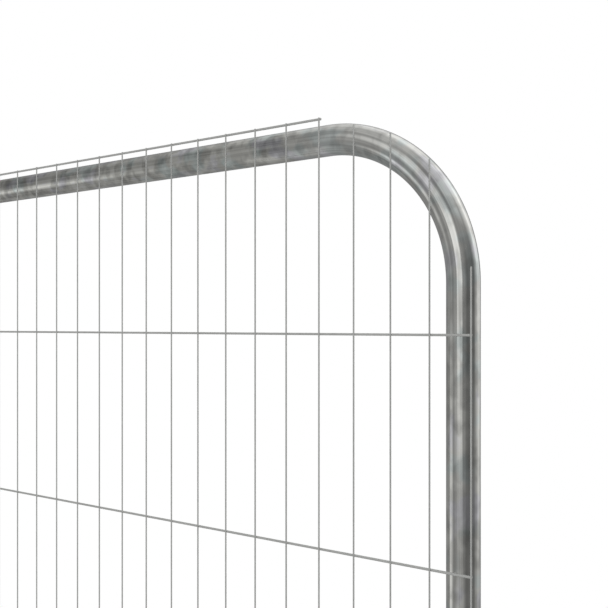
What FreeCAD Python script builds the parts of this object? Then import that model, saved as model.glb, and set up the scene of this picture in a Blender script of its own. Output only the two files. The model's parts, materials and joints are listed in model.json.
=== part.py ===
import FreeCAD, Part
import os

import Sketcher

# Round-top mesh fence panel for a building site. One tube, bent at both top corners, makes the posts and the
# top rail. A second tube with saddle-cut ends is the bottom rail, and a welded wire sheet lies on the front.
# Millimetres. Origin: centre of the left leg's end. +X runs along the panel, +Z is up, the mesh is on -Y.

sizes = (
    ("panel_height", 2000.0),   # crown of the top rail above the leg ends
    ("post_spacing", 3460.0),   # post axis to post axis
    ("tube_diameter", 38.0),
    ("tube_wall", 1.5),
    ("bend_radius", 180.0),     # of the tube's axis in the two top corners
    ("leg_length", 187.0),      # free leg below the bottom rail
    ("saddle_land", 4.0),       # the saddle's knife-edge tips are ground off this far from the post axis
    ("weld_gap", 0.3),          # root gap between a saddle and its post
    ("upright_wire", 2.0),      # diameter of the vertical wires
    ("cross_wire", 3.0),        # diameter of the horizontal wires
    ("upright_pitch", 50.0),
    ("cross_pitch", 260.0),
    ("side_overhang", 20.0),    # outermost upright beyond the post axis
    ("rail_overhang", 22.5),    # outermost cross wire beyond the rail axis
    ("top_stub", 1.5),          # top cross wire beyond its outermost upright
    ("corner_margin", 13.5),    # the sheet's corners are trimmed on an arc this much larger than the bend,
    ("corner_shift", 15.0),     # centred this far outward of the bend's centre
    ("corner_drop", 1.6),       # and this far below it
    ("edge_rise", 16.0),        # outermost upright above the lower end of the bend
)
mesh_nodes = ("mesh_left", "mesh_middle", "mesh_right")

doc = FreeCAD.newDocument("FencePanel")
sheet = doc.addObject("Spreadsheet::Sheet", "Sizes")
for row, (alias, value) in enumerate(sizes, start=1):
    sheet.set(f"A{row}", alias)
    sheet.set(f"B{row}", str(value))
    sheet.setAlias(f"B{row}", alias)
doc.recompute()

# Heights and spans that several pieces share, as expressions on the sheet
tube_radius = "(Sizes.tube_diameter / 2)"
top_axis = f"(Sizes.panel_height - {tube_radius})"
bottom_axis = f"(Sizes.leg_length + {tube_radius})"
bend_centre = f"({top_axis} - Sizes.bend_radius)"
mesh_width = "(Sizes.post_spacing + 2 * Sizes.side_overhang)"
mesh_top = f"({top_axis} + Sizes.rail_overhang)"
mesh_bottom = f"({bottom_axis} - Sizes.rail_overhang)"
mesh_height = f"({mesh_top} - {mesh_bottom})"

# Each wire is a square bar with the round wire's own area. The cross wires lie on the front of the posts and
# the uprights lie on the cross wires, flat on flat.
cross_side = "(Sizes.cross_wire * sqrt(pi) / 2)"
upright_side = "(Sizes.upright_wire * sqrt(pi) / 2)"
cross_front = f"(-{tube_radius} - {cross_side})"
upright_front = f"({cross_front} - {upright_side})"


def place(item, x="0", y="0", z="0", turn=0):
    """Turns an item about the vertical through its own origin and ties that origin's place to the sheet."""
    item.Placement = FreeCAD.Placement(FreeCAD.Vector(), FreeCAD.Rotation(FreeCAD.Vector(0, 0, 1), turn))
    for letter, value in zip("xyz", (x, y, z)):
        item.setExpression(f"Placement.Base.{letter}", value)


def origin_plane(body, role):
    return next(feature for feature in body.Origin.OriginFeatures if feature.Role == role)


def new_sketch(body, name, plane):
    sketch = body.newObject("Sketcher::SketchObject", f"{body.Name}_{name}")
    sketch.AttachmentSupport = [(origin_plane(body, plane), "")]
    sketch.MapMode = "FlatFace"
    return sketch


def tie(sketch, constraint, name, expression):
    """Adds a driving constraint with a name of its own and ties it to the sheet."""
    index = sketch.addConstraint(constraint)
    sketch.renameConstraint(index, name)
    sketch.setExpression(f"Constraints.{name}", expression)


def add_circle(sketch, name, diameter, offset=None):
    """A circle at the sketch's origin, or on its horizontal axis at an offset tied to the sheet."""
    outline = Part.Circle(FreeCAD.Vector(), FreeCAD.Vector(0, 0, 1), sheet.tube_diameter / 2)
    circle = sketch.addGeometry(outline)
    if offset:
        sketch.addConstraint(Sketcher.Constraint("PointOnObject", circle, 3, -1))
        tie(sketch, Sketcher.Constraint("DistanceX", -1, 1, circle, 3, 0), f"{name}_x", offset)
    else:
        sketch.addConstraint(Sketcher.Constraint("Coincident", circle, 3, -1, 1))
    tie(sketch, Sketcher.Constraint("Diameter", circle, sheet.tube_diameter), name, diameter)


def tube_section(body, name, plane):
    """The ring that every tube of the frame has as its section."""
    sketch = new_sketch(body, name, plane)
    add_circle(sketch, "outside", "Sizes.tube_diameter")
    add_circle(sketch, "bore", "Sizes.tube_diameter - 2 * Sizes.tube_wall")
    return sketch


def straight_tube(name, plane, length):
    """A tube padded from one of its body's origin planes."""
    body = doc.addObject("PartDesign::Body", name)
    pad = body.newObject("PartDesign::Pad", f"{name}_pad")
    pad.Profile = tube_section(body, "section", plane)
    pad.setExpression("Length", length)
    body.Tip = pad
    return body


def bent_post(name):
    """A post and the quarter bend at its head, which turns towards its own +X about a line beside it."""
    body = straight_tube(name, "XY_Plane", bend_centre)
    section = tube_section(body, "bend_section", "XY_Plane")
    section.setExpression("AttachmentOffset.Base.z", bend_centre)
    start = FreeCAD.Vector(sheet.bend_radius, 0, 0)
    end = start + FreeCAD.Vector(0, sheet.tube_diameter, 0)
    axis = section.addGeometry(Part.LineSegment(start, end), True)
    section.addConstraint(Sketcher.Constraint("Vertical", axis))
    section.addConstraint(Sketcher.Constraint("PointOnObject", axis, 1, -1))
    turn_radius = Sketcher.Constraint("DistanceX", -1, 1, axis, 1, start.x)
    tie(section, turn_radius, "turn_radius", "Sizes.bend_radius")
    line_length = Sketcher.Constraint("DistanceY", axis, 1, axis, 2, end.y)
    tie(section, line_length, "line_length", "Sizes.tube_diameter")
    bend = body.newObject("PartDesign::Revolution", f"{name}_bend")
    bend.Profile = section
    bend.ReferenceAxis = (section, ["Axis0"])
    bend.Angle = 90
    body.Tip = bend
    return body


def cut_saddles(body, post_places):
    """Cuts the ends of a rail to the posts' round, with the weld's root gap all round."""
    sketch = new_sketch(body, "saddles", "XY_Plane")
    for number, offset in enumerate(post_places, start=1):
        add_circle(sketch, f"post_{number}", "Sizes.tube_diameter + 2 * Sizes.weld_gap", offset)
    pocket = body.newObject("PartDesign::Pocket", f"{body.Name}_saddle_cut")
    pocket.Profile = sketch
    pocket.SideType = "Symmetric"
    pocket.setExpression("Length", "2 * Sizes.tube_diameter")
    body.Tip = pocket


def build_frame():
    """The hoop, as its bent posts and the straight rail between them, and the bottom rail."""
    left_post = bent_post("left_post")
    place(left_post)
    right_post = bent_post("right_post")
    place(right_post, x="Sizes.post_spacing", turn=180)

    top_rail = straight_tube("top_rail", "YZ_Plane", "Sizes.post_spacing - 2 * Sizes.bend_radius")
    place(top_rail, x="Sizes.bend_radius", z=top_axis)

    bottom_rail = straight_tube("bottom_rail", "YZ_Plane", "Sizes.post_spacing - 2 * Sizes.saddle_land")
    place(bottom_rail, x="Sizes.saddle_land", z=bottom_axis)
    cut_saddles(bottom_rail, ("-Sizes.saddle_land", "Sizes.post_spacing - Sizes.saddle_land"))
    return [left_post, right_post, top_rail, bottom_rail]


# Whole numbers of spaces that come nearest to the two pitches
upright_spaces = round((sheet.post_spacing + 2 * sheet.side_overhang) / sheet.upright_pitch)
cross_rise = sheet.panel_height - sheet.leg_length - sheet.tube_diameter + 2 * sheet.rail_overhang
cross_spaces = round(cross_rise / sheet.cross_pitch)
upright_step = (sheet.post_spacing + 2 * sheet.side_overhang) / upright_spaces


def column_x(column):
    """Place of an upright along the panel, or of a point between two of them."""
    return f"({column} * {mesh_width} / {upright_spaces} - Sizes.side_overhang)"


def inset_of(column):
    """How far inside the nearer post's axis an upright stands: its value and its expression."""
    mirrored = min(column, upright_spaces - column)
    return mirrored * upright_step - sheet.side_overhang, column_x(mirrored)


def on_top_rail(column):
    inset, _ = inset_of(column)
    return inset >= sheet.bend_radius - sheet.upright_wire


full_columns = [column for column in range(upright_spaces + 1) if on_top_rail(column)]


def upright_head(column):
    """Top end of an upright: flush with the top cross wire, trimmed along the bend, or low at the edge."""
    inset, inset_expression = inset_of(column)
    if column in full_columns:
        return f"({mesh_top} + Sizes.cross_wire / 2)"
    if inset < 0:
        return f"({bend_centre} + Sizes.edge_rise)"
    reach = f"(Sizes.bend_radius - {inset_expression} - Sizes.corner_shift)"
    rise = f"sqrt((Sizes.bend_radius + Sizes.corner_margin)^2 - {reach}^2)"
    return f"({bend_centre} - Sizes.corner_drop + {rise})"


def add_bar(name, length, width, height):
    bar = doc.addObject("Part::Box", name)
    bar.setExpression("Length", length)
    bar.setExpression("Width", width)
    bar.setExpression("Height", height)
    return bar


def add_upright(column):
    foot = f"({mesh_bottom} - Sizes.cross_wire / 2)"
    bar = add_bar(f"upright_{column}", upright_side, upright_side, f"{upright_head(column)} - {foot}")
    place(bar, x=f"{column_x(column)} - {upright_side} / 2", y=upright_front, z=foot)
    return bar


def add_cross_wire(name, row, first, last):
    """The stretch of a cross wire that belongs to the columns from first to last, or None.

    The top wire stands out past its outermost uprights, and the others end on the axes of theirs.
    """
    row_first, row_last = (full_columns[0], full_columns[-1]) if row == 0 else (0, upright_spaces)
    stub = "Sizes.top_stub" if row == 0 else "0"
    if last < row_first or first > row_last:
        return None
    start = f"({column_x(row_first)} - {stub})" if first <= row_first else column_x(first - 0.5)
    end = f"({column_x(row_last)} + {stub})" if last >= row_last else column_x(last + 0.5)
    bar = add_bar(name, f"{end} - {start}", cross_side, cross_side)
    height = f"{mesh_top} - {row} * {mesh_height} / {cross_spaces}"
    place(bar, x=start, y=cross_front, z=f"{height} - {cross_side} / 2")
    return bar


def build_mesh():
    """The welded sheet, in sections that meet halfway between two uprights."""
    columns = upright_spaces + 1
    sections = []
    for number, node in enumerate(mesh_nodes):
        first = round(number * columns / len(mesh_nodes))
        last = round((number + 1) * columns / len(mesh_nodes)) - 1
        bars = [add_upright(column) for column in range(first, last + 1)]
        rows = [add_cross_wire(f"{node}_row_{row}", row, first, last) for row in range(cross_spaces + 1)]
        section = doc.addObject("Part::MultiFuse", node)
        section.Shapes = bars + [bar for bar in rows if bar]
        sections.append(section)
    return sections


pieces = build_frame() + build_mesh()
doc.recompute()

for item in doc.Objects:
    if "Invalid" in item.State or "Error" in item.State:
        raise RuntimeError(f"{item.Label} failed: {item.State}")
for piece in pieces:
    shape = piece.Shape
    if shape.isNull() or not shape.isValid() or len(shape.Solids) != 1:
        raise RuntimeError(f"{piece.Label} isn't one valid solid")

os.makedirs("parts", exist_ok=True)
for piece in pieces:
    piece.Shape.exportStep(f"parts/{piece.Label}.step")
    box = piece.Shape.BoundBox
    print(f"{piece.Label}: {piece.Shape.Volume:.0f} mm3, {len(piece.Shape.Faces)} faces,"
          f" x {box.XMin:.1f} to {box.XMax:.1f}, y {box.YMin:.1f} to {box.YMax:.1f},"
          f" z {box.ZMin:.1f} to {box.ZMax:.1f}")
print(f"{upright_spaces + 1} uprights, {cross_spaces + 1} cross wires")
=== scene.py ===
import json

import bpy
import numpy as np
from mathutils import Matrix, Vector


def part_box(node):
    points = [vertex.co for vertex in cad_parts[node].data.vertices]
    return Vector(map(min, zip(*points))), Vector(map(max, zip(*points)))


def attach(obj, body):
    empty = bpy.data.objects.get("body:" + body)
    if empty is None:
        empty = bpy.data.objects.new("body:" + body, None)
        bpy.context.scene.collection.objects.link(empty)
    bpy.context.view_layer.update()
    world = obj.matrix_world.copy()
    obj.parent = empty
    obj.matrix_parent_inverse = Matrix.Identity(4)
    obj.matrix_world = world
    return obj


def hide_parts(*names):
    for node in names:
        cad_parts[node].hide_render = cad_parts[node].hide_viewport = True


# Round-top mesh fence panel: a bent tube hoop, a bottom rail and a welded wire sheet, all galvanised.
# Metres. x runs along the panel, z is up, and the wire sheet is on the -y side.

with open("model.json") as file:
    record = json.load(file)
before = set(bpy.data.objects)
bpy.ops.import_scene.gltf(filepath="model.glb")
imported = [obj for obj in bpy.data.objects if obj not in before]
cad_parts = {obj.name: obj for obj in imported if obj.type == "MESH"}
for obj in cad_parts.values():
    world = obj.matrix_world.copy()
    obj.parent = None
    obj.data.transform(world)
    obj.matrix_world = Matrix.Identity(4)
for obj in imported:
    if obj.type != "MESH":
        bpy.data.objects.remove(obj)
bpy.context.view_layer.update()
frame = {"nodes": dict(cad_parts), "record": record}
print("frame loaded, nodes:", ", ".join(sorted(frame["nodes"])))

front = np.array([0.0, -1.0, 0.0])  # towards the wire sheet
mounts = {mount["name"]: mount["pos_m"] for mount in frame["record"]["mounts"]}
leftAxis = mounts["left_leg_end"][0]
rightAxis = mounts["right_leg_end"][0]
middleX = (leftAxis + rightAxis) / 2
railLow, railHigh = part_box("top_rail")
tubeRadius = (railHigh.z - railLow.z) / 2
topAxis = (railHigh.z + railLow.z) / 2
bendRadius = railLow.x - leftAxis
bendCentre = topAxis - bendRadius
foldAngle = 0.7  # radians, edges that fold more than this stay sharp


# Quads between neighbouring points of a grid, rows x columns, that may close on itself either way
def gridFaces(rows, columns, wrapRows=False, wrapColumns=False):
    row = np.arange(rows if wrapRows else rows - 1)[:, None]
    column = np.arange(columns if wrapColumns else columns - 1)[None, :]
    nextRow = (row + 1) % rows
    nextColumn = (column + 1) % columns
    corners = (row * columns + column, row * columns + nextColumn,
               nextRow * columns + nextColumn, nextRow * columns + column)
    return np.stack(corners, -1).reshape(-1, 4)


# The same faces for each of many equal grids that follow one another in the list of points
def repeatFaces(faces, count, pointsEach):
    return (faces[None] + pointsEach * np.arange(count)[:, None, None]).reshape(-1, faces.shape[1])


# Faces of many equal closed shapes: rings of points one after another, and a flat face at both ends
def ringedFaces(rings, sides, count):
    walls = repeatFaces(gridFaces(rings, sides, wrapColumns=True), count, rings * sides)
    ends = np.stack([np.arange(sides)[::-1], (rings - 1) * sides + np.arange(sides)])
    return walls.tolist() + repeatFaces(ends, count, rings * sides).tolist()


# Angles at even steps round a circle
def fullTurn(count):
    return np.linspace(0, 2 * np.pi, count, endpoint=False)


# Unit vectors of an azimuth from +x towards +y and an elevation, both in radians
def towards(azimuth, elevation):
    level = np.cos(elevation)
    return np.stack([level * np.cos(azimuth), level * np.sin(azimuth), np.sin(elevation)], -1)


# A smooth mesh at the origin, fixed to the panel, that stands for the solids it replaces
def addPiece(name, points, faces, material, replaced=(), sharpAngle=foldAngle):
    mesh = bpy.data.meshes.new(name)
    mesh.from_pydata(points.reshape(-1, 3).tolist(), [], faces)
    mesh.validate()
    mesh.shade_smooth()
    mesh.set_sharp_from_angle(angle=sharpAngle)
    mesh.materials.append(material)
    piece = bpy.data.objects.new(name, mesh)
    bpy.context.scene.collection.objects.link(piece)
    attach(piece, "root")
    if replaced:
        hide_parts(*replaced)
    print(name, len(mesh.vertices), "points", len(mesh.polygons), "faces")
    return piece


# A vector for each point that patterns follow instead of its place
def addCoordinates(piece, name, vectors):
    layer = piece.data.attributes.new(name, "FLOAT_VECTOR", "POINT")
    layer.data.foreach_set("vector", vectors.reshape(-1).astype(np.float32))


# A number for each point that a material reads
def addNumbers(piece, name, values):
    layer = piece.data.attributes.new(name, "FLOAT", "POINT")
    layer.data.foreach_set("value", values.reshape(-1).astype(np.float32))


# A shader node whose inputs are constants or other nodes' outputs
def addNode(tree, kind, inputs, **settings):
    node = tree.nodes.new("ShaderNode" + kind)
    for key, value in settings.items():
        setattr(node, key, value)
    for key, value in inputs.items():
        if isinstance(value, bpy.types.NodeSocket):
            tree.links.new(value, node.inputs[key])
        else:
            node.inputs[key].default_value = value
    return node


def newMaterial(name):
    material = bpy.data.materials.new(name)
    material.use_nodes = True
    material.node_tree.nodes.clear()
    return material, material.node_tree


def finishMaterial(tree, shader):
    output = tree.nodes.new("ShaderNodeOutputMaterial")
    tree.links.new(shader, output.inputs["Surface"])


def plainGrey(level):
    return (level, level, level, 1.0)


def scaledCoordinates(tree, source, scale):
    mapping = addNode(tree, "Mapping", {"Vector": source, "Scale": scale})
    return mapping.outputs["Vector"]


def noise(tree, vector, scale, detail=2.0, roughness=0.5, distortion=0.0):
    inputs = {"Vector": vector, "Scale": scale, "Detail": detail, "Roughness": roughness,
              "Distortion": distortion}
    return addNode(tree, "TexNoise", inputs).outputs["Fac"]


def mapRange(tree, value, low, high, toLow, toHigh):
    inputs = {"Value": value, "From Min": low, "From Max": high, "To Min": toLow, "To Max": toHigh}
    return addNode(tree, "MapRange", inputs).outputs["Result"]


def calculate(tree, operation, first, second=0.0, third=0.0):
    node = addNode(tree, "Math", {0: first, 1: second, 2: third}, operation=operation)
    return node.outputs["Value"]


# Middle value plus each part's swing about a half, times its weight
def weightedSum(tree, parts, middle):
    total = middle - 0.5 * sum(weight for value, weight in parts)
    for value, weight in parts:
        total = calculate(tree, "MULTIPLY_ADD", value, weight, total)
    return total


# A mix of two colours: its inputs 0, 6 and 7 are the share and the colours, and its output 2 is the result
def mixColour(tree, share, first, second, blend="MIX"):
    node = addNode(tree, "Mix", {0: share, 6: first, 7: second}, data_type="RGBA", blend_type=blend)
    return node.outputs[2]


tubeFinish = {
    "olive": (0.748, 0.746, 0.702, 1.0),
    "teal": (0.686, 0.744, 0.722, 1.0),
    "blue": (0.744, 0.744, 0.774, 1.0),
    "worked": (0.742, 0.747, 0.747, 1.0),
    "workedShare": 0.3,          # how much of this last tint lies over the others where the zinc is calm
    "tintScale": 30.0,           # tints change over about 30 mm
    "tealRange": (0.53, 0.62),   # noise from which teal begins and at which it is full
    "blueRange": (0.57, 0.66),
    "blueStretch": (1.3, 1.3, 0.8),
    "drained": 0.6,              # clouds and crystals are taller than wide, as the zinc ran off
    "cloudScale": 66.0,          # clouds about 15 mm wide
    "cloudDistortion": 0.15,
    "cloudRange": (0.42, 0.58),  # noise of the dark and the light clouds
    "cloudWeight": 0.38,
    "crystalScale": 52.0,        # zinc crystals about 19 mm wide
    "crystalSmoothness": 0.25,
    "crystalWeight": 0.28,
    "wander": 0.004,             # their edges wander by about half of this
    "wanderScale": 132.0,
    "calmShare": 0.56,           # of the clouds and crystals that is left where the zinc is calm
    "stretch": 0.015,            # ridges and lines are drawn out along the tube
    "ridgeScale": 150.0,         # drawing ridges about 5 mm wide
    "ridgeWeight": 0.4,
    "ridgeHeight": 1.0,          # share of the bump's height
    "lineScale": 440.0,          # drawing lines about 2 mm wide
    "lineWeight": 0.8,
    "lineHeight": 0.35,
    "grainScale": 420.0,
    "grainHeight": 0.1,
    "bumpHeight": 0.0001,
    "roughnessLow": 0.08,
    "roughnessHigh": 0.15,
}


# Clouds, soft crystals, ridges and lines lighten and darken one grey, each by its weight, and slow noise
# leans the grey towards olive, teal or blue. Ridges, lines and a fine grain also raise the surface a little.
def makeTubeZinc(finish):
    material, tree = newMaterial("galvanisedTube")
    place = addNode(tree, "Attribute", {}, attribute_name="straightened").outputs["Vector"]
    upright = addNode(tree, "TexCoord", {}).outputs["Object"]
    drained = scaledCoordinates(tree, upright, (1.0, 1.0, finish["drained"]))
    cloud = noise(tree, drained, finish["cloudScale"], distortion=finish["cloudDistortion"])
    cloud = mapRange(tree, cloud, *finish["cloudRange"], 0.0, 1.0)
    wander = addNode(tree, "TexNoise", {"Vector": drained, "Scale": finish["wanderScale"]}).outputs["Color"]
    warped = addNode(tree, "VectorMath", {0: wander, 1: (finish["wander"],) * 3, 2: drained},
                     operation="MULTIPLY_ADD").outputs["Vector"]
    crystals = addNode(tree, "TexVoronoi", {"Vector": warped, "Scale": finish["crystalScale"],
                                            "Smoothness": finish["crystalSmoothness"]}, feature="SMOOTH_F1")
    crystal = addNode(tree, "SeparateColor", {"Color": crystals.outputs["Color"]}).outputs["Red"]
    lengthwise = scaledCoordinates(tree, place, (1.0, 1.0, finish["stretch"]))
    ridge = noise(tree, lengthwise, finish["ridgeScale"], detail=1.0)
    line = noise(tree, lengthwise, finish["lineScale"])
    patchy = weightedSum(tree, ((cloud, finish["cloudWeight"]), (crystal, finish["crystalWeight"])), 0.0)
    calm = addNode(tree, "Attribute", {}, attribute_name="calm").outputs["Fac"]
    patchy = calculate(tree, "MULTIPLY", patchy, mapRange(tree, calm, 0.0, 1.0, 1.0, finish["calmShare"]))
    lines = weightedSum(tree, ((ridge, finish["ridgeWeight"]), (line, finish["lineWeight"])), 1.0)
    level = calculate(tree, "ADD", patchy, lines)

    leanTeal = mapRange(tree, noise(tree, place, finish["tintScale"]), *finish["tealRange"], 0.0, 1.0)
    elsewhere = scaledCoordinates(tree, place, finish["blueStretch"])
    leanBlue = mapRange(tree, noise(tree, elsewhere, finish["tintScale"]), *finish["blueRange"], 0.0, 1.0)
    tint = mixColour(tree, leanTeal, finish["olive"], finish["teal"])
    tint = mixColour(tree, leanBlue, tint, finish["blue"])
    tint = mixColour(tree, calculate(tree, "MULTIPLY", calm, finish["workedShare"]), tint, finish["worked"])
    grey = addNode(tree, "CombineColor", {"Red": level, "Green": level, "Blue": level}).outputs["Color"]
    colour = mixColour(tree, 1.0, tint, grey, blend="MULTIPLY")

    roughness = mapRange(tree, cloud, 0.0, 1.0, finish["roughnessHigh"], finish["roughnessLow"])
    grain = noise(tree, place, finish["grainScale"])
    height = weightedSum(tree, ((ridge, finish["ridgeHeight"]), (line, finish["lineHeight"]),
                                (grain, finish["grainHeight"])), 0.5)
    bump = addNode(tree, "Bump", {"Height": height, "Strength": 1.0, "Distance": finish["bumpHeight"]})
    shader = addNode(tree, "BsdfPrincipled", {"Base Color": colour, "Metallic": 1.0, "Roughness": roughness,
                                              "Normal": bump.outputs["Normal"]})
    finishMaterial(tree, shader.outputs["BSDF"])
    return material


wireFinish = {
    "dull": (0.51, 0.516, 0.50, 1.0),
    "clean": (0.57, 0.576, 0.56, 1.0),
    "metal": 0.5,              # the rest is the zinc's dull bloom
    "patchScale": 38.0,
    "patchRange": (0.3, 0.7),  # noise of the dull and the clean patches
    "roughnessLow": 0.45,
    "roughnessHigh": 0.60,
}


# One grey between dull and clean by patches along the wire
def makeWireZinc(finish):
    material, tree = newMaterial("galvanisedWire")
    place = addNode(tree, "TexCoord", {}).outputs["Object"]
    patch = noise(tree, place, finish["patchScale"], detail=3.0, roughness=0.6)
    cleanShare = mapRange(tree, patch, *finish["patchRange"], 0.0, 1.0)
    colour = mixColour(tree, cleanShare, finish["dull"], finish["clean"])
    roughness = mapRange(tree, patch, *finish["patchRange"], finish["roughnessHigh"], finish["roughnessLow"])
    shader = addNode(tree, "BsdfPrincipled", {"Base Color": colour, "Metallic": finish["metal"],
                                              "Roughness": roughness})
    finishMaterial(tree, shader.outputs["BSDF"])
    return material


tubeZinc = makeTubeZinc(tubeFinish)
wireZinc = makeWireZinc(wireFinish)
print("finishes ready")

tube = {"sides": 72, "wall": 0.0015, "rimRound": 0.0003}  # of the hoop and the bottom rail


# Stations along a tube's wall, out along the skin, over the rounded rim and back along the bore, with radii
def wallProfile(stations):
    rim = tube["rimRound"]
    ends = stations[[0, -1]]
    inside = stations[(stations > ends[0] + rim) & (stations < ends[1] - rim)]
    skin = np.concatenate([[ends[0], ends[0] + rim], inside, [ends[1] - rim, ends[1]]])
    skinRadius = np.full(len(skin), tubeRadius)
    skinRadius[[0, -1]] -= rim
    bore = skin[::-1]
    boreRadius = np.full(len(bore), tubeRadius - tube["wall"])
    boreRadius[[0, -1]] += rim
    return np.concatenate([skin, bore]), np.concatenate([skinRadius, boreRadius])


hoop = {
    "bendSteps": 48,
    "straightStep": 0.05,
    "calmPosts": 0.7,        # the zinc is this calm on the posts, and fully on the bends,
    "calmEnds": 0.10,        # with this length between that and the cloudy rail
}
bendLength = bendRadius * np.pi / 2
railLength = rightAxis - leftAxis - 2 * bendRadius
# lengths from the left leg's end at which the first bend, the rail, the last bend and the right post begin
hoopStarts = np.cumsum([bendCentre, bendLength, railLength, bendLength])


# The hoop's axis at a length from the left leg's end: up, round, along, round and down. Each stretch's travel
# is the length clipped to it, and the two turns added give the side that faces out of the hoop.
def hoopAxis(length):
    rise = np.clip(length, 0, hoopStarts[0])
    firstTurn = np.clip(length - hoopStarts[0], 0, bendLength) / bendRadius
    along = np.clip(length - hoopStarts[1], 0, railLength)
    lastTurn = np.clip(length - hoopStarts[2], 0, bendLength) / bendRadius
    fall = np.clip(length - hoopStarts[3], 0, bendCentre)
    x = leftAxis + bendRadius * (1 - np.cos(firstTurn)) + along + bendRadius * np.sin(lastTurn)
    z = rise + bendRadius * np.sin(firstTurn) - bendRadius * (1 - np.cos(lastTurn)) - fall
    heading = firstTurn + lastTurn
    outward = np.stack([-np.cos(heading), 0 * heading, np.sin(heading)], -1)
    return np.stack([x, 0 * x, z], -1), outward


# How calm the zinc is at a length: one value on the posts, 1 on the bends and 0 on the rail, straight between
def calmAt(length, posts, ends):
    bends = hoopStarts.reshape(2, 2)
    lengths = np.concatenate([[low - ends, low, high, high + ends] for low, high in bends])
    return np.interp(length, lengths, [posts, 1.0, 1.0, 0.0, 0.0, 1.0, 1.0, posts])


# Ring points: axis + radius * (cos(v) * outward + sin(v) * front), for every length and every angle v
def buildHoop(sizes):
    total = hoopStarts[-1] + bendCentre
    straight = [np.arange(0, hoopStarts[0], sizes["straightStep"]),
                np.arange(hoopStarts[1], hoopStarts[2], sizes["straightStep"]),
                np.arange(hoopStarts[3], total, sizes["straightStep"])]
    bends = [np.linspace(hoopStarts[0], hoopStarts[1], sizes["bendSteps"] + 1),
             np.linspace(hoopStarts[2], hoopStarts[3], sizes["bendSteps"] + 1)]
    stations = np.unique(np.concatenate(straight + bends + [[total]]).round(6))
    length, radius = wallProfile(stations)
    axis, outward = hoopAxis(length)
    angle = fullTurn(tube["sides"])
    around = np.cos(angle)[None, :, None] * outward[:, None] + np.sin(angle)[None, :, None] * front
    points = axis[:, None] + radius[:, None, None] * around
    faces = gridFaces(len(length), tube["sides"], wrapRows=True, wrapColumns=True)
    piece = addPiece("hoop", points, faces.tolist(), tubeZinc,
                     ("left_post", "right_post", "top_rail"))
    straightened = np.stack([radius[:, None] * np.cos(angle), radius[:, None] * np.sin(angle),
                             length[:, None] + 0 * angle], -1)
    addCoordinates(piece, "straightened", straightened)
    calm = calmAt(length, sizes["calmPosts"], sizes["calmEnds"])
    addNumbers(piece, "calm", calm[:, None] + 0 * angle)


bottomRail = {
    "step": 0.10,
    "rootGap": 0.0003,       # between the saddles and the posts
    "patternStart": 20.0,    # the zinc's patterns go on from here, away from the hoop's
}
saddleLand = 0.004  # the saddles' tips stop this far from the post's axis


# How far a saddle's edge stands from the post's axis at a distance across it: on the post's own circle
def saddleReach(across, postRadius):
    return np.maximum(saddleLand, np.sqrt(np.maximum(postRadius ** 2 - across ** 2, 0)))


# A straight tube whose every lengthwise line is stretched between the two saddles, by shares of its length
def buildBottomRail(sizes):
    low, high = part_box("bottom_rail")
    railAxis = (low.z + high.z) / 2
    count = int((high.x - low.x) / sizes["step"])
    share, radius = wallProfile(np.linspace(0, 1, count))
    angle = fullTurn(tube["sides"])
    across = radius[:, None] * np.sin(angle)
    reach = saddleReach(across, tubeRadius + sizes["rootGap"])
    start = leftAxis + reach
    end = rightAxis - reach
    x = start + (end - start) * share[:, None]
    z = railAxis + radius[:, None] * np.cos(angle)
    points = np.stack([x, -across, z], -1)
    faces = gridFaces(len(share), tube["sides"], wrapRows=True, wrapColumns=True)
    piece = addPiece("bottomRail", points, faces.tolist(), tubeZinc, ("bottom_rail",))
    straightened = np.stack([radius[:, None] * np.cos(angle), across, x + sizes["patternStart"]], -1)
    addCoordinates(piece, "straightened", straightened)
    return railAxis


railWelds = {
    "bead": 0.0026,
    "offset": 0.3,           # of the bead, from the saddle's edge to its middle
    "ripples": 34,
    "rippleDepth": 0.16,
    "steps": 204,
    "sides": 10,
}


# A bead along each saddle: a circle carried round the joint, thicker and thinner with each ripple
def buildRailWelds(sizes, railAxis):
    angle = fullTurn(sizes["steps"])
    across = tubeRadius * np.sin(angle)
    reach = saddleReach(across, tubeRadius) + sizes["bead"] * sizes["offset"]
    radial = np.stack([0 * angle, -np.sin(angle), np.cos(angle)], -1)
    thick = sizes["bead"] * (1 - sizes["rippleDepth"] * np.abs(np.sin(angle * sizes["ripples"] / 2)))
    turn = fullTurn(sizes["sides"])[None, :, None]
    loops = []
    for side, post in ((1.0, leftAxis), (-1.0, rightAxis)):
        line = np.stack([post + side * reach, -across, railAxis + tubeRadius * np.cos(angle)], -1)
        tangent = np.roll(line, -1, axis=0) - np.roll(line, 1, axis=0)
        tangent /= np.linalg.norm(tangent, axis=1, keepdims=True)
        sideways = np.cross(tangent, radial)
        ring = np.cos(turn) * radial[:, None] + np.sin(turn) * sideways[:, None]
        loops.append(line[:, None] + thick[:, None, None] * ring)
    faces = gridFaces(sizes["steps"], sizes["sides"], wrapRows=True, wrapColumns=True)
    faces = repeatFaces(faces, len(loops), sizes["steps"] * sizes["sides"])
    addPiece("railWelds", np.stack(loops), faces[:, ::-1].tolist(), wireZinc)


meshNodes = ("mesh_left", "mesh_middle", "mesh_right")
wireSheet = {
    "uprightPitch": 0.050,
    "crossPitch": 0.260,
    "uprightWire": 0.0020,
    "crossWire": 0.0030,
    "sideOverhang": 0.020,   # outermost upright beyond the post's axis
    "topStub": 0.0015,       # top cross wire beyond its outermost upright
    "cornerMargin": 0.0135,  # the trimmed corner's arc is this much larger than the bend,
    "cornerShift": 0.0150,   # centred this far outward of the bend's centre
    "cornerDrop": 0.0016,    # and this far below it
    "edgeRise": 0.0160,      # outermost upright above the lower end of the bend
    "cutEdge": 0.00025,
    "sides": 10,
}


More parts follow.
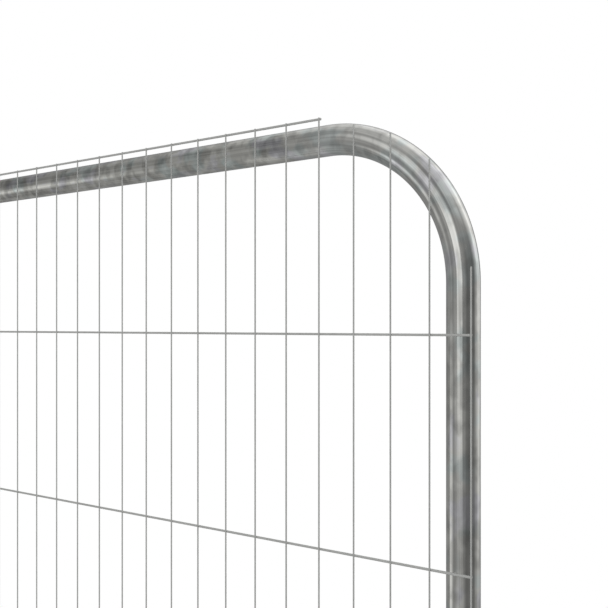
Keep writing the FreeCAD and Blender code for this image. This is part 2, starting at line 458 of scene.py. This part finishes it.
# Rods along one direction: rings across it at both ends and, at full width, just inside them
def rods(starts, lengths, direction, first, second, diameter, sizes):
    edge = sizes["cutEdge"]
    radius = diameter / 2 - np.array([edge, 0, 0, edge])
    along = np.stack([0 * lengths, 0 * lengths + edge, lengths - edge, lengths], -1)
    angle = fullTurn(sizes["sides"])
    ring = np.cos(angle)[:, None] * first + np.sin(angle)[:, None] * second
    points = starts[:, None, None] + along[:, :, None, None] * direction + radius[:, None, None] * ring
    return points, ringedFaces(len(radius), sizes["sides"], len(starts))


# Columns and rows of wires at even pitches. A column ends at the top row under the straight rail, on the
# trimmed corner's arc, root(radius^2 - reach^2) above its centre, and at a set height outside the posts.
def planSheet(sizes):
    low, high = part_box("mesh_middle")
    span = rightAxis - leftAxis + 2 * sizes["sideOverhang"]
    spaces = round(span / sizes["uprightPitch"])
    column = np.arange(spaces + 1)
    x = leftAxis - sizes["sideOverhang"] + column * span / spaces
    inset = np.minimum(x - leftAxis, rightAxis - x)
    full = inset >= bendRadius - sizes["uprightWire"]
    reach = bendRadius - inset - sizes["cornerShift"]
    arcRadius = bendRadius + sizes["cornerMargin"]
    trimmed = bendCentre - sizes["cornerDrop"] + np.sqrt(np.maximum(arcRadius ** 2 - reach ** 2, 0))
    head = np.where(full, high.z, np.where(inset < 0, bendCentre + sizes["edgeRise"], trimmed))
    topRow = high.z - sizes["crossWire"] / 2
    bottomRow = low.z + sizes["crossWire"] / 2
    rowSpaces = round((topRow - bottomRow) / sizes["crossPitch"])
    rows = np.linspace(topRow, bottomRow, rowSpaces + 1)
    side = np.sqrt(np.pi) / 2  # the solids' wires are square bars of the same area
    crossY = high.y - sizes["crossWire"] * side / 2
    uprightY = low.y + sizes["uprightWire"] * side / 2
    return {"x": x, "foot": low.z, "head": head, "full": full, "rows": rows,
            "crossY": crossY, "uprightY": uprightY}


# Wires from the sheet's foot up to each column's end
def buildUprights(sizes, plan):
    count = len(plan["x"])
    starts = np.stack([plan["x"], np.full(count, plan["uprightY"]), np.full(count, plan["foot"])], -1)
    points, faces = rods(starts, plan["head"] - plan["foot"], np.array([0, 0, 1.0]), np.array([1.0, 0, 0]),
                         np.array([0, 1.0, 0]), sizes["uprightWire"], sizes)
    piece = addPiece("uprights", points, faces, wireZinc, meshNodes)
    piece.visible_glossy = False  # the cloudy zinc behind shows no image of the wires


# Wires from the first column to the last, the top one only between those under the straight rail
def buildCrossWires(sizes, plan):
    rows = plan["rows"]
    under = plan["x"][plan["full"]]
    isTop = np.arange(len(rows)) == 0
    begin = np.where(isTop, under[0] - sizes["topStub"], plan["x"][0])
    end = np.where(isTop, under[-1] + sizes["topStub"], plan["x"][-1])
    starts = np.stack([begin, np.full(len(rows), plan["crossY"]), rows], -1)
    points, faces = rods(starts, end - begin, np.array([1.0, 0, 0]), np.array([0, 1.0, 0]),
                         np.array([0, 0, 1.0]), sizes["crossWire"], sizes)
    piece = addPiece("crossWires", points, faces, wireZinc, meshNodes)
    piece.visible_glossy = False


spotWelds = {
    "crossing": (0.0012, 0.0008, 0.0017),  # half sizes of the nugget between two wires
    "post": (0.0045, 0.0009, 0.0019),      # and of the weld between a cross wire and a post
    "sides": 8,
    "latitudes": 4,
    "topLatitude": 1.1,      # radians, where a ball is cut flat
    "sharpAngle": 1.6,       # all smooth
}


# Small flattened balls: directions of a latitude and a longitude, scaled by three half sizes
def balls(centres, halfSizes, sizes):
    latitude = np.linspace(-sizes["topLatitude"], sizes["topLatitude"], sizes["latitudes"])
    shape = towards(*np.meshgrid(fullTurn(sizes["sides"]), latitude))
    points = centres[:, None, None] + shape * halfSizes[:, None, None]
    return points, ringedFaces(sizes["latitudes"], sizes["sides"], len(centres))


# A nugget wherever a column reaches a row, and a weld where each row but the top one meets a post
def buildSpotWelds(sizes, sheet, plan):
    x, z = np.meshgrid(plan["x"], plan["rows"])
    isLower = np.arange(len(plan["rows"])) > 0
    present = (z <= plan["head"]) & (isLower[:, None] | plan["full"])
    contact = (plan["crossY"] - sheet["crossWire"] / 2 + plan["uprightY"] + sheet["uprightWire"] / 2) / 2
    crossings = np.stack([x[present], np.full(present.sum(), contact), z[present]], -1)
    rows = plan["rows"][isLower]
    posts = np.concatenate([np.stack([np.full(len(rows), axis), np.full(len(rows), -tubeRadius), rows], -1)
                            for axis in (leftAxis, rightAxis)])
    centres = np.concatenate([crossings, posts])
    halfSizes = np.concatenate([np.tile(sizes["crossing"], (len(crossings), 1)),
                                np.tile(sizes["post"], (len(posts), 1))])
    points, faces = balls(centres, halfSizes, sizes)
    piece = addPiece("spotWelds", points, faces, wireZinc, sharpAngle=sizes["sharpAngle"])
    piece.visible_glossy = False


buildHoop(hoop)
bottomAxis = buildBottomRail(bottomRail)
buildRailWelds(railWelds, bottomAxis)
sheetPlan = planSheet(wireSheet)
buildUprights(wireSheet, sheetPlan)
buildCrossWires(wireSheet, sheetPlan)
buildSpotWelds(spotWelds, wireSheet, sheetPlan)
print("pieces ready")

camera = {
    "place": (3.8865, -0.8722, 1.7542),
    "heading": 36.508,       # degrees from +y towards -x
    "sensor": 36.0,          # millimetres
    "lens": 51.17,
    "horizonDrop": 21.24,    # pixels, of a frame this wide and high
    "frameSize": 608,
    "nearest": 0.05,
    "farthest": 500.0,
}


# A level camera whose frame is shifted, so that uprights stay parallel
def buildCamera(sizes):
    data = bpy.data.cameras.new("camera")
    data.sensor_width = sizes["sensor"]
    data.lens = sizes["lens"]
    data.shift_y = sizes["horizonDrop"] / sizes["frameSize"]
    data.clip_start = sizes["nearest"]
    data.clip_end = sizes["farthest"]
    viewer = bpy.data.objects.new("camera", data)
    viewer.location = sizes["place"]
    viewer.rotation_euler = (np.pi / 2, 0, np.radians(sizes["heading"]))
    bpy.context.scene.collection.objects.link(viewer)
    bpy.context.scene.camera = viewer


tent = {
    "centre": (3.40, 0.0, 1.70),
    "radius": 40.0,
    "cloth": 0.08,           # brightness of the net where it lets no white through
    "plain": 0.25,           # brightness outside the patches
    "columns": 360,
    "rows": 180,
    "topElevation": 1.56,    # radians, just short of straight up
    # azimuth from +x towards +y, elevation, half width, half height, fade at the sides, fade at the ends
    # and tilt, all in degrees, and brightness; each lies over those before it
    "patches": {
        "overhead": (-160, 75, 32, 25, 30, 25, 0, 0.48),
        "ceiling": (95, 62, 32, 22, 30, 35, 0, 0.85),
        "upperRight": (-30, 55, 20, 17, 20, 14, 0, 0.52),
        "rightDark": (-18, -5, 33, 25, 20, 25, 0, 0.13),
        "key": (58, 30, 24, 37, 45, 50, 10, 0.97),
        "rearGrey": (100, 0, 23, 20, 15, 20, 0, 0.36),
        "underGlow": (170, -60, 40, 10, 20, 15, 0, 0.40),
        "leftShade": (-170, 23, 22, 13, 20, 15, 0, 0.17),
        "frontHaze": (-115, 23, 10, 13, 12, 20, 0, 0.52),
        "lowHaze": (-115, -3, 10, 8, 12, 14, 0, 0.40),
        "lowGlow": (-92, -24, 20, 8, 20, 12, 0, 0.42),
        "frontWindow": (-89, 11, 18, 18, 8, 22, 0, 0.86),
        "frontLean": (-103, 27, 12, 10, 10, 20, 25, 0.70),
        "sideWindow": (-153, -14, 10, 9, 15, 20, 0, 0.70),
    },
}


# 0 to 1 and level at both ends: 3t^2 - 2t^3
def softStep(t):
    t = np.clip(t, 0, 1)
    return t * t * (3 - 2 * t)


# How far a direction lies inside a patch: 1 in its middle, 0 past its edge. The two angles from the middle,
# across and along the tilted patch, each fade over their own number of degrees, and their shares multiply.
def patchShare(direction, azimuth, elevation, halfWidth, halfHeight, sideFade, endFade, tilt):
    a, e, t = np.radians([azimuth, elevation, tilt])
    middle = towards(a, e)
    level = np.array([-np.sin(a), np.cos(a), 0.0])
    steep = np.cross(middle, level)
    sideways = np.cos(t) * level + np.sin(t) * steep
    upward = np.cos(t) * steep - np.sin(t) * level
    ahead = direction @ middle
    x = np.degrees(np.arctan2(direction @ sideways, np.hypot(ahead, direction @ upward) * np.sign(ahead)))
    y = np.degrees(np.arctan2(direction @ upward, ahead))
    acrossShare = softStep((halfWidth - np.abs(x)) / sideFade + 0.5)
    return acrossShare * softStep((halfHeight - np.abs(y)) / endFade + 0.5)


# Dark cloth where the cover is 1, clear where it is 0, and white surroundings show through in between
def makeNet(cloth):
    material, tree = newMaterial("tentNet")
    cover = addNode(tree, "Attribute", {}, attribute_name="cover").outputs["Fac"]
    dark = addNode(tree, "Emission", {"Color": plainGrey(cloth), "Strength": 1.0})
    clear = addNode(tree, "BsdfTransparent", {})
    mixed = addNode(tree, "MixShader", {0: cover, 1: clear.outputs[0], 2: dark.outputs[0]})
    finishMaterial(tree, mixed.outputs[0])
    material.cycles.emission_sampling = "NONE"
    return material


# A net round the set that only reflections see: a ball on a grid of azimuth and elevation, whose cover is
# (1 - brightness) / (1 - cloth), because the white behind it has brightness 1
def buildTent(sizes):
    top = sizes["topElevation"]
    direction = towards(*np.meshgrid(np.linspace(-np.pi, np.pi, sizes["columns"], endpoint=False),
                                     np.linspace(-top, top, sizes["rows"])))
    points = np.array(sizes["centre"]) + sizes["radius"] * direction
    bright = np.full(direction.shape[:2], sizes["plain"])
    for *patch, level in sizes["patches"].values():
        bright += (level - bright) * patchShare(direction, *patch)
    mesh = bpy.data.meshes.new("tent")
    faces = gridFaces(sizes["rows"], sizes["columns"], wrapColumns=True)
    mesh.from_pydata(points.reshape(-1, 3).tolist(), [], faces.tolist())
    mesh.materials.append(makeNet(sizes["cloth"]))
    net = bpy.data.objects.new("tent", mesh)
    addNumbers(net, "cover", (1 - bright) / (1 - sizes["cloth"]))
    bpy.context.scene.collection.objects.link(net)
    net.visible_camera = False
    net.visible_diffuse = False
    net.visible_transmission = False
    net.visible_shadow = False


# 1 for what the camera sees, straight or in a reflection or through glass
def seenShare(tree):
    path = addNode(tree, "LightPath", {}).outputs
    straight = calculate(tree, "MAXIMUM", path["Is Camera Ray"], path["Is Glossy Ray"])
    return calculate(tree, "MAXIMUM", straight, path["Is Transmission Ray"])


surroundings = {"white": 1.0, "ambient": 0.92}


# White for what is seen, and a softer light on everything
def buildWorld(sizes):
    world = bpy.data.worlds.new("studio")
    world.use_nodes = True
    tree = world.node_tree
    tree.nodes.clear()
    ambient = addNode(tree, "Background", {"Strength": sizes["ambient"], "Color": plainGrey(1.0)})
    white = addNode(tree, "Background", {"Strength": sizes["white"], "Color": plainGrey(1.0)})
    mixed = addNode(tree, "MixShader", {0: seenShare(tree), 1: ambient.outputs[0], 2: white.outputs[0]})
    output = tree.nodes.new("ShaderNodeOutputWorld")
    tree.links.new(mixed.outputs[0], output.inputs["Surface"])
    bpy.context.scene.world = world


floor = {"halfSize": 60.0, "pale": 0.86, "nearEdge": 0.8, "farEdge": 2.2}


# Pale near the panel and white further off: the distance is root(x^2 + y^2) from the line between its legs
def makePaleFloor(sizes):
    material, tree = newMaterial("paleFloor")
    place = addNode(tree, "TexCoord", {}).outputs["Object"]
    parts = addNode(tree, "SeparateXYZ", {"Vector": place}).outputs
    fromMiddle = calculate(tree, "ABSOLUTE", calculate(tree, "SUBTRACT", parts["X"], middleX))
    past = calculate(tree, "MAXIMUM", calculate(tree, "SUBTRACT", fromMiddle, rightAxis - middleX), 0.0)
    inLine = calculate(tree, "MULTIPLY", past, past)
    beside = calculate(tree, "MULTIPLY", parts["Y"], parts["Y"])
    distance = calculate(tree, "SQRT", calculate(tree, "ADD", inLine, beside))
    far = mapRange(tree, distance, sizes["nearEdge"], sizes["farEdge"], 0.0, 1.0)
    matt = addNode(tree, "BsdfDiffuse", {"Color": plainGrey(sizes["pale"])})
    white = addNode(tree, "Emission", {"Color": plainGrey(1.0), "Strength": 1.0})
    share = calculate(tree, "MULTIPLY", far, seenShare(tree))
    mixed = addNode(tree, "MixShader", {0: share, 1: matt.outputs[0], 2: white.outputs[0]})
    finishMaterial(tree, mixed.outputs[0])
    material.cycles.emission_sampling = "NONE"
    return material


# One large square on which the panel's shadow falls
def buildFloor(sizes):
    half = sizes["halfSize"]
    corners = np.array([[-half, -half, 0], [half, -half, 0], [half, half, 0], [-half, half, 0]])
    mesh = bpy.data.meshes.new("floor")
    mesh.from_pydata(corners.tolist(), [], [[0, 1, 2, 3]])
    mesh.materials.append(makePaleFloor(sizes))
    ground = bpy.data.objects.new("floor", mesh)
    ground.visible_glossy = False  # the metal shows the tent below it instead
    bpy.context.scene.collection.objects.link(ground)


lamps = {
    "keyLamp": {"azimuth": 56, "elevation": 38, "distance": 7.0, "size": 4.0, "power": 60.0},
    "frontLamp": {"azimuth": -97, "elevation": 24, "distance": 7.0, "size": 3.0, "power": 20.0},
}


# A square lamp that looks at the middle of the panel
def buildLamp(name, sizes):
    azimuth, elevation = np.radians([sizes["azimuth"], sizes["elevation"]])
    panelMiddle = np.array([middleX, 0.0, topAxis / 2])
    data = bpy.data.lights.new(name, "AREA")
    data.size = sizes["size"]
    data.energy = sizes["power"]
    lamp = bpy.data.objects.new(name, data)
    lamp.location = panelMiddle + sizes["distance"] * towards(azimuth, elevation)
    lamp.rotation_euler = (np.pi / 2 - elevation, 0.0, azimuth + np.pi / 2)
    lamp.visible_glossy = False  # the tent's windows are what the metal shows of it
    bpy.context.scene.collection.objects.link(lamp)


buildCamera(camera)
buildTent(tent)
buildWorld(surroundings)
buildFloor(floor)
for lampName, lampSizes in lamps.items():
    buildLamp(lampName, lampSizes)
bpy.context.scene.view_settings.view_transform = "Standard"
print("stage ready")
